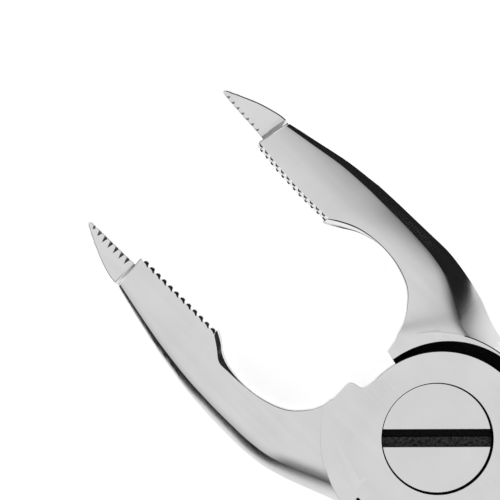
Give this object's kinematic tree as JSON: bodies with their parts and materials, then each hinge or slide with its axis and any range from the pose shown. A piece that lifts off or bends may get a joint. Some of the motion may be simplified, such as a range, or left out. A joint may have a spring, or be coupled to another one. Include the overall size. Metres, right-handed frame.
{
  "type": "nutcracker",
  "caption": "Plier-form steel nutcracker with toothed jaws, fine points, an arched mouth, a slotted pivot screw and sprung handles.",
  "frame": {"origin": "on the pivot axis, in the flat underside that the tool lies on", "axes": "+X midway between the open jaws towards the points, +Y to the side of the upper-lap lever's jaw, +Z along the pivot to the screw head"},
  "size_m": [0.1785, 0.0848, 0.01],
  "materials": {
    "lever_steel": "fine satin polish, brighter along the edges",
    "screw_steel": "fine turned and polished",
    "spring_steel": "hardened and tempered strip, lightly polished",
    "washer_bronze": "plain phosphor bronze"
  },
  "bodies": {
    "fixed_lever": {"lever_b": "lever_steel", "pivot_screw": "screw_steel", "thrust_washer": "washer_bronze", "leaf_spring_b": "spring_steel", "spring_screw_b": "screw_steel"},
    "moving_lever": {"lever_a": "lever_steel", "leaf_spring_a": "spring_steel", "spring_screw_a": "screw_steel"}
  },
  "joints": [
    {"name": "pivot", "type": "hinge", "parent": "fixed_lever", "child": "moving_lever", "pos_m": [0, 0, 0.005], "axis": [0, 0, -1], "range_deg": [0, 25.9], "stiffness_Nm_per_rad": 2, "springref_deg": -4.58, "deforming": ["leaf_spring_a", "leaf_spring_b"]}
  ]
}
